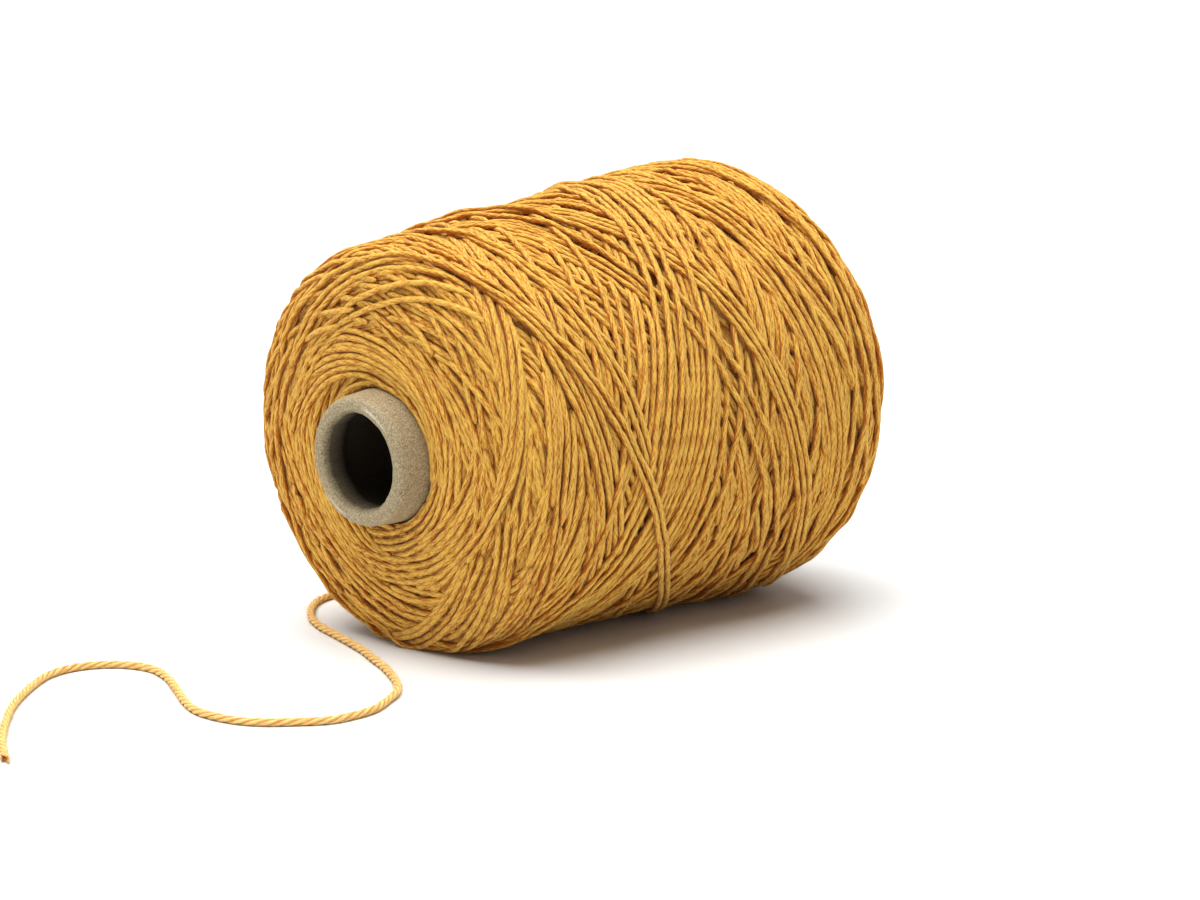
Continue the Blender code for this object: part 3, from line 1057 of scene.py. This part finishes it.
# ---------------------------------------------------------------- the core


def make_core(finish, draw):
    """The paper core: its rolled nose has a crease where the roll meets the side, and the rolled
    edge inside is gathered into small uneven folds."""
    lip = LIP_HOLE + LIP_ROLL
    back = CORE_START + LIP_LENGTH
    last = CORE_END - CORE_EDGE
    outside = [(core_radius(along), along) for along in np.linspace(last, 0, 24)]
    nose = [
        (
            lip + LIP_ROLL * cos(angle) * (1 + 0.02 * cos(6 * angle)),
            CORE_START + LIP_ROLL * (1 - sin(angle)),
        )
        for angle in NOSE_ANGLES
    ]
    hole = [(LIP_HOLE, along) for along in np.linspace(CORE_START + LIP_ROLL + 0.3 * MM, back, 6)]
    wall = [
        (core_radius(along) - CORE_WALL, along)
        for along in [back + 1.2 * MM, *np.linspace(back + 4 * MM, last, 14)]
    ]
    edge = [(core_radius(CORE_END) - CORE_WALL * share, CORE_END) for share in (0.7, 0.3)]
    line = np.array(outside + nose + hole + wall + edge)
    # Painted shade in the bore: 0 where the paper shows plain, 1 where the bore is painted darkest.
    bore_shade = np.concatenate([
        np.zeros(len(outside) + len(nose) - 9),
        np.linspace(0.04, 0.6, 9),
        np.linspace(0.7, 1.0, len(hole)),
        np.interp(np.linspace(0, 1, len(wall)), [0, 0.15, 0.2, 0.3, 1], [0.98, 0.92, 0.8, 0.3, 0]),
        np.zeros(len(edge)),
    ])
    turn = np.arange(CORE_STEPS) * FULL / CORE_STEPS
    front = np.zeros(len(line))
    front[len(outside):len(outside) + len(nose)] = NOSE_ANGLES
    crease = np.exp(-(((front - CREASE_ANGLE) / CREASE_REACH) ** 2))
    near_crease = sum(
        np.exp(-((((turn - middle + pi) % FULL - pi) / width) ** 4)) for middle, width in CREASES
    )
    uneven = 0.7 + 0.3 * np.sin(turn * 37) * np.sin(turn * 23)
    # Where the crease is rubbed pale and a highlight is painted on it; the same mask dents the
    # crease a little.
    rub_and_glint = crease[:, None] * near_crease[None] * uneven
    folds, dents = (
        sum(draw.uniform(least, 1) * np.sin(turn * k + draw.uniform(0, FULL)) for k in waves)
        for least, waves in ((0.3, FOLDS), (0.4, DENTS))
    )
    inner = np.clip((LIP_HOLE + FOLD_REACH - line[:, 0]) / FOLD_REACH, 0, 1)
    inner = inner * (line[:, 1] < back + 1 * MM)
    radius = line[:, :1] + folds * inner[:, None] * FOLD_DEEP + dents * DENT_DEEP
    along = line[:, 1:] - rub_and_glint * CREASE_DEEP
    place = np.stack([radius * np.cos(turn), radius * np.sin(turn), along], -1)
    count = len(line)
    ring = np.arange(CORE_STEPS)
    after = (ring + 1) % CORE_STEPS
    row = np.arange(count)[:, None] * CORE_STEPS
    following = ((np.arange(count) + 1) % count)[:, None] * CORE_STEPS
    quads = np.stack([row + ring, following + ring, following + after, row + after], -1)
    mesh = mesh_from(
        "paper_tube", to_world(place.reshape(-1, 3)), quads.ravel(),
        np.full(count * CORE_STEPS, 4), None,
        {"inside": np.repeat(bore_shade, CORE_STEPS), "rub_and_glint": rub_and_glint.ravel() * 0.8},
    )
    add_piece("paper_tube", mesh, finish, "core", "paper_core")


# ---------------------------------------------------------------- stage, light and camera


def make_camera():
    """The camera at the photograph's angle."""
    data = bpy.data.cameras.new("camera")
    data.lens = LENS
    data.sensor_width = SENSOR
    data.clip_start = 0.02
    data.clip_end = 50
    camera = bpy.data.objects.new("camera", data)
    camera.location = CAMERA_PLACE
    camera.rotation_euler = (pi / 2 + CAMERA_PITCH, 0, CAMERA_YAW - pi / 2)
    bpy.context.scene.collection.objects.link(camera)
    bpy.context.scene.camera = camera


def make_stage():
    """A round table top, wide enough to fill every view."""
    mesh = bpy.data.meshes.new("table")
    shape = bmesh.new()
    bmesh.ops.create_circle(shape, cap_ends=True, segments=96, radius=TABLE_RADIUS)
    shape.to_mesh(mesh)
    shape.free()
    table = bpy.data.objects.new("table", mesh)
    mesh.materials.append(plain_white("white_board"))
    bpy.context.scene.collection.objects.link(table)


def make_light():
    """A bright room: one broad soft light almost overhead, a little from the left, and pale walls
    all round, which the camera sees as white."""
    world = bpy.data.worlds.new("bright_room")
    bpy.context.scene.world = world
    world.use_nodes = True
    tree = world.node_tree
    tree.nodes.clear()
    seen = node(tree, "LightPath")
    walls = node(tree, "Background", {"Color": (0.98, 0.98, 1, 1), "Strength": 0.33})
    white = node(tree, "Background", {"Color": (1, 1, 1, 1), "Strength": 1.1})
    mixed = node(
        tree, "MixShader",
        {0: seen.outputs["Is Camera Ray"], 1: walls.outputs[0], 2: white.outputs[0]},
    )
    node(tree, "OutputWorld", {"Surface": mixed.outputs[0]})
    lamp = bpy.data.lights.new("window", "SUN")
    lamp.energy = 5.4
    lamp.angle = LIGHT_SPREAD
    lamp.color = (1.0, 1.0, 0.97)
    window = bpy.data.objects.new("window", lamp)
    window.rotation_euler = Vector(LIGHT_WAY).to_track_quat("-Z", "Y").to_euler()
    bpy.context.scene.collection.objects.link(window)
    bpy.context.scene.view_settings.view_transform = "Standard"


def wind_package():
    """Lay all the yarn in the order in which it was wound.  The laps have draws of their own."""
    package = Package()
    draw = np.random.default_rng(FACE_SEED)
    far_ring = [OVER_END - reach for reach in reversed(FAR_ARC_RING)]
    lay_face_arcs(package, draw, *NEAR_ARC_RING, NEAR_ARCS, True)
    lay_face_arcs(package, draw, *far_ring, FAR_ARCS, False)
    lay_face_courses(package, draw, *COURSE_RING)
    draw = np.random.default_rng(LAP_SEED)
    lay_laps(package, draw, LAPS)
    lay_last_strokes(package, draw)
    return package, draw


def make_winding(finish):
    """The wound yarn: the strands that show, the bed of older yarn under them and their fuzz."""
    package, draw = wind_package()
    runs = seen_runs(package)
    for number, share in enumerate(split_runs(runs, COLUMNS, PIECE_TRIANGLES)):
        name = f"wound_strands_{number + 1}"
        add_piece(name, tubes(name, share, COLUMNS), finish, "yarn", "wound_yarn")
    add_piece("yarn_bed", bed_mesh(package), finish, "yarn", "wound_yarn")
    add_piece("fuzz", fuzz_mesh("fuzz", draw, runs, FUZZ_COUNT), finish, "yarn")


make_camera()
# The darker colour serves the fibre streaks and also the shade painted low on strands and in the
# grooves between plies.
soft_yarn = spun_yarn("spun_yarn", "#E9B951", "#AE5C0C")
# Painted light: the loose end gets a paler copy of the yarn's colours, as it lies lit by the white
# table.
make_loose_end(spun_yarn("spun_yarn_lit", "#FFDA8E", "#EA9A42"))
make_core(pressed_paper("pressed_paper"), np.random.default_rng(CORE_SEED))
make_stage()
make_light()
make_winding(soft_yarn)
